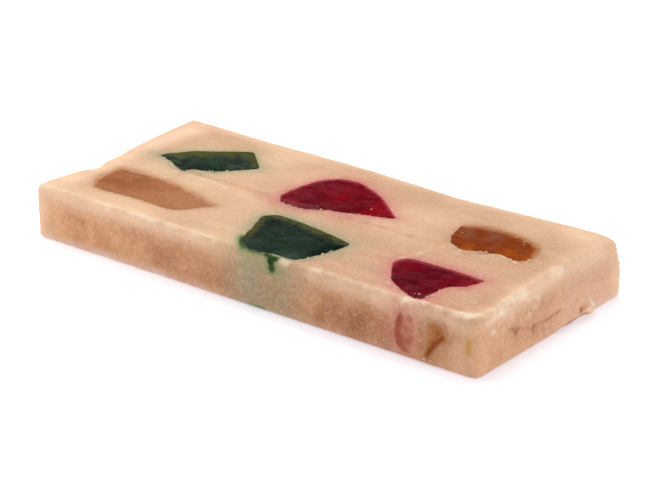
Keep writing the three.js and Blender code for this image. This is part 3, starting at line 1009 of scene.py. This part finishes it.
def film_over(name, chunk, look, places):
    """How thick the film of paste is over each place of a chunk, from 0 to 1."""
    film = np.zeros(len(places))
    if "depth" not in chunk:
        line = outline(chunk["corners"])
        middle = line.mean(axis=0)
        flat = middle + (places[:, :2] - middle) / share_left(chunk, places[:, 2])[:, None]
        nearest = np.argmin(((flat[:, None, :] - line[None, :, :]) ** 2).sum(axis=2), axis=1)
        gaps = np.linalg.norm(flat - line[nearest], axis=1) * inside(line, flat)
        facing = outwards(line)[nearest] @ look.get("film_towards", film_towards)
        facing = smooth_step(facing, -0.3, 0.4)
        width, most = look["film"]
        width = wider_film.get(name, 1) * width * (0.4 + 0.6 * facing)
        width = width * (0.7 + 0.6 * uneven(places, 3, salt=2))
        film = most * np.maximum(facing, look["edge_film"]) * (1 - smooth_step(gaps, 0, width))
        film = np.maximum(film, closeness(flat, painted_glint_ridges.get(name, [])))
    if name in bare:
        at_side = on_front_side(places)
        shown = np.zeros(len(places))
        for path, reach, share in bare[name]:
            gaps = gap_to(places[:, [0, 2]], path) + 0.8 * (uneven(places, 2.6, salt=7) - 0.5)
            shown = np.maximum(shown, share * np.exp(-((np.maximum(gaps, 0) / reach) ** 2)))
        side_outline = outline(chunk.get("at_side", chunk)["corners"])
        shown *= smooth_step(gap_to(places[:, [0, 2]], side_outline, closed=True), 0, fading[name])
        film = np.maximum(film * (1 - at_side), (1 - shown) * at_side)
    return film


def fruit_material(name, look):
    made = bpy.data.materials.new(name)
    made.use_nodes = True
    tree = made.node_tree
    shader = tree.nodes["Principled BSDF"]
    blotch = spread(tree, cloud(tree, 6, stretch=(0.5, 1, 1)), 0.36, 0.64)
    flesh = mix(tree, blotch, colour(*look["deep"]), colour(*look["light"]))
    streaks = spread(tree, cloud(tree, 1.2, detail=4, stretch=(0.3, 1, 1), shift=30), 0.54, 0.72, 0, 0.65)
    flesh = mix(tree, streaks, flesh, colour(*look["streak"]))
    dots = spread(tree, cloud(tree, 0.9, detail=2, shift=60), 0.6, 0.7, 0, 0.7)
    flesh = mix(tree, dots, flesh, colour(*look["dots"]))
    bright, dull, at_side = parts_of(tree, "tone")
    ragged = spread(tree, cloud(tree, 2.2, detail=4, shift=15), 0.35, 0.65, 0.2, 1)
    # Brighter patches are partly painted glow and glints; the duller ones on the back red chunk are a
    # painted reflection.
    flesh = mix(tree, times(tree, bright, ragged), flesh, colour(*look["bright"]))
    flesh = mix(tree, times(tree, dull, times(tree, ragged, 0.8)), flesh, colour(*look["dull"]))
    veil = mix(tree, at_side, colour(*look["veil"]), colour(*look.get("side_veil", look["veil"])))
    film = math(tree, "ADD", noted(tree, "film"), spread(tree, cloud(tree, 1.2), 0.3, 0.7, -0.1, 0.1))
    flesh = mix(tree, spread(tree, film, 0.05, 0.45), flesh, veil)
    flesh = mix(tree, spread(tree, film, 0.45, 0.95), flesh, paste_colour(tree))
    tree.links.new(flesh, shader.inputs["Base Color"])
    wet = spread(tree, cloud(tree, 2.4), 0.3, 0.7, 0.14, 0.34)
    tree.links.new(math(tree, "ADD", wet, times(tree, film, 0.3)), shader.inputs["Roughness"])
    shader.inputs["Specular IOR Level"].default_value = 0.07
    shader.inputs["Subsurface Weight"].default_value = 0.1
    shader.inputs["Subsurface Radius"].default_value = (1, 0.5, 0.4)
    shader.inputs["Subsurface Scale"].default_value = 0.8 * mm
    dents = math(tree, "ADD", cloud(tree, 1.5, detail=3), times(tree, cloud(tree, 0.4, detail=1), 0.3))
    relief = {"Height": dents, "Strength": 0.5, "Distance": 0.4 * mm}
    tree.links.new(step(tree, "Bump", relief).outputs[0], shader.inputs["Normal"])
    return made


materials = {kind: fruit_material(f"candied_{kind}", look) for kind, look in fruit_looks.items()}
for name, fruit in fruits.items():
    kind = name.split("_")[0]
    places = points_of(fruit)
    film = film_over(name, chunks[name], fruit_looks[kind], places)
    note_paste(fruit)
    note(fruit, "film", film)
    bright = patches_over(bright_and_glowing_patches.get(name, []), places)
    dull = patches_over(dull_and_hazed_patches.get(name, []), places)
    at_side = on_front_side(places)
    note(fruit, "tone", np.stack([bright * (1 - at_side), dull * (1 - at_side), at_side], axis=1))
    on_top = places[:, 2] > thickness - top_reach
    places[:, 2] -= on_top * sunk * (1 - smooth_step(film, 0, film_holds))
    put(fruit, places)
    fruit.data.materials.clear()
    fruit.data.materials.append(materials[kind])
    only(fruit)
    bpy.ops.object.shade_smooth_by_angle(angle=crisp_angle)
    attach(fruit, "root")
    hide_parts(name)

# Crumbs and sugar
# The knife left crumbs of paste on the torn sides, the shoulder and the front edges of the fruit, and
# grains of sugar that had not dissolved stand out white all over.
draw = np.random.default_rng(27)
# Faces count as the top or a side if they lie this near to it, and turn that way by at least this much.
shell_reach = (6, 3, 3)
shell_turn = 0.6
clear_of_table = 0.4
# The band of crumbs along the front edges of the fruit, how many of them lie on the fruit's side of the
# edge, and how crumbly the edge of a kind is.
crumb_band = 0.8
crumbs_on_fruit = 0.12
edge_crumbs_on = {"tan_fruit": 0.4}
# How far a grain lies off the middle of its face, how low it can reach, and how much rarer large ones are.
strewn = 0.12
lowest = 0.02
rarer = 1.8


def outer_faces():
    """The middle, direction and area of every face that the slab and the fruit show."""
    found = []
    for piece in (slab, *fruits.values()):
        faces = piece.data.polygons
        middles, directions, areas = (np.empty(len(faces) * width, "f") for width in (3, 3, 1))
        faces.foreach_get("center", middles)
        faces.foreach_get("normal", directions)
        faces.foreach_get("area", areas)
        found.append(np.column_stack([middles.reshape(-1, 3) / mm, directions.reshape(-1, 3), areas]))
    found = np.concatenate(found)
    at, out = found[:, :3], found[:, 3:6]
    shown = (out[:, 2] > shell_turn) & (at[:, 2] > thickness - shell_reach[2])
    for axis, half in ((0, half_length), (1, half_width)):
        turned = out[:, axis] * np.sign(at[:, axis]) > shell_turn
        shown |= (abs(at[:, axis]) > half - shell_reach[axis]) & turned & (at[:, 2] > clear_of_table)
    return found[shown]


def scatter(name, count, chance, small, large, irregular, proud):
    """Joins many copies of one small piece, stuck in the faces at which chance is high. They are from
    small to large across, as irregular as a share of that, and proud of the face by a share of half."""
    only(slab)
    bpy.ops.mesh.primitive_ico_sphere_add(subdivisions=1, radius=1)
    grain = bpy.context.object
    shape = np.array([corner.co[:] for corner in grain.data.vertices])
    faces = np.array([face.vertices[:] for face in grain.data.polygons])
    discard(grain)
    likely = chance * shell[:, 6]
    chosen = shell[draw.choice(len(shell), count, p=likely / likely.sum())]
    sizes = small * (large / small) ** (draw.random(count) ** rarer) / 2
    turns = np.linalg.qr(draw.normal(size=(count, 3, 3)))[0]
    turns *= np.linalg.det(turns)[:, None, None]
    stretch = 1 + irregular * draw.uniform(-1, 1, (count, len(shape), 1))
    corners = np.einsum("nvc,ncd->nvd", shape * stretch * sizes[:, None, None], turns)
    places = chosen[:, :3] + chosen[:, 3:6] * sizes[:, None] * proud
    corners += (places + draw.uniform(-strewn, strewn, (count, 3)))[:, None]
    corners[..., 2] = np.maximum(corners[..., 2], lowest)
    mesh = bpy.data.meshes.new(name)
    offsets = np.arange(count)[:, None, None] * len(shape)
    mesh.from_pydata((corners.reshape(-1, 3) * mm).tolist(), [], (faces + offsets).reshape(-1, 3).tolist())
    made = bpy.data.objects.new(name, mesh)
    bpy.context.collection.objects.link(made)
    only(made)
    bpy.ops.object.shade_smooth()
    return made


shell = outer_faces()
near_fruit = np.zeros(len(shell))
on_green = np.zeros(len(shell), bool)
for name, chunk in chunks.items():
    if "depth" not in chunk:
        line = outline(chunk["corners"])
        on_fruit = inside(line, shell[:, :2])
        at_front = (shell[:, 1] < line[:, 1].mean()) * np.where(on_fruit, crumbs_on_fruit, 1)
        gaps = gap_to(shell[:, :2], line, closed=True)
        near_edge = edge_crumbs_on.get(name, 1) * np.exp(-((gaps / crumb_band) ** 2))
        near_fruit = np.maximum(near_fruit, near_edge * at_front)
        if name.startswith("green"):
            on_green |= on_fruit
near_fruit *= 1 - smooth_step(closeness(shell[:, :3], smears), 0.3, 0.6)
rubbed_and_highlit_here = closeness(shell[:, :3], rubbed_and_highlit_lines)
side_here = smooth_step(shell[:, 2], side_top, side_middle)
torn_here = closeness(shell[:, :3], pits + cracks)

crumb_chance = 0.04 + 0.8 * side_here + 4 * rubbed_and_highlit_here + 5 * torn_here
crumbs = scatter("paste_crumbs", 200, crumb_chance, small=0.3, large=1, irregular=0.35, proud=-0.2)
edge_crumbs = scatter(
    "edge_crumbs", 220, near_fruit**2, small=0.35, large=1.1, irregular=0.4, proud=-0.25
)
# The crumbs are paled, partly as painted highlights along the fruit's front edges.
for piece in (crumbs, edge_crumbs):
    note_paste(piece, stained=0.3, pale_and_highlight=0.7)
    piece.data.materials.append(paste)
    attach(piece, "root")

sugar_chance = (0.12 + 0.8 * side_here + 3 * rubbed_and_highlit_here + 3 * near_fruit) * ~on_green
sugar = scatter("sugar_grains", 180, sugar_chance, small=0.2, large=0.55, irregular=0.15, proud=0.1)
sugar_material = bpy.data.materials.new("sugar")
sugar_material.use_nodes = True
tree = sugar_material.node_tree
shader = tree.nodes["Principled BSDF"]
tint = mix(tree, spread(tree, cloud(tree, 2), 0.3, 0.7), colour(*sugar_white), colour(*rubbed))
tree.links.new(tint, shader.inputs["Base Color"])
tree.links.new(spread(tree, cloud(tree, 0.5), 0.3, 0.7, 0.15, 0.4), shader.inputs["Roughness"])
sugar.data.materials.append(sugar_material)
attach(sugar, "root")

# The table and the light
# A wide white table, lit so brightly that next to no shadow shows on it, under soft light from above
# and from both sides.
table_glow = 0.33
# The studio is dim all round and bright overhead.
dim_sky, bright_sky = 0.04, 0.6
bpy.ops.mesh.primitive_plane_add(size=6)
table = bpy.context.object
table.name = "table"
white = bpy.data.materials.new("table_white")
white.use_nodes = True
shader = white.node_tree.nodes["Principled BSDF"]
shader.inputs["Base Color"].default_value = (0.92, 0.92, 0.92, 1)
shader.inputs["Roughness"].default_value = 0.9
shader.inputs["Specular IOR Level"].default_value = 0.1
shader.inputs["Emission Color"].default_value = (0.82, 0.86, 1, 1)
shader.inputs["Emission Strength"].default_value = table_glow
table.data.materials.append(white)

world = bpy.data.worlds.new("studio")
world.use_nodes = True
tree = world.node_tree
upwards = step(tree, "SeparateXYZ", {"Vector": step(tree, "TexCoord").outputs["Generated"]}).outputs["Z"]
sky = tree.nodes["Background"]
tree.links.new(spread(tree, upwards, 0.35, 0.95, dim_sky, bright_sky), sky.inputs["Strength"])
sky.inputs["Color"].default_value = (1, 1, 1, 1)
bpy.context.scene.world = world


def softbox(name, place, size, power):
    place = Vector(place)
    bpy.ops.object.light_add(type="AREA", location=place, rotation=place.to_track_quat("Z", "Y").to_euler())
    light = bpy.context.object
    light.name = name
    light.data.size = size
    light.data.energy = power


softbox("overhead", (-0.3, 0.3, 0.9), size=1, power=6.6)
softbox("from_right", (0.85, -0.1, 0.35), size=0.5, power=2.8)
softbox("from_left", (-0.8, 0.15, 0.3), size=0.4, power=1.6)
softbox("from_front_left", (-0.42, -0.3, 0.2), size=0.25, power=0.9)
bpy.context.scene.view_settings.view_transform = "Standard"
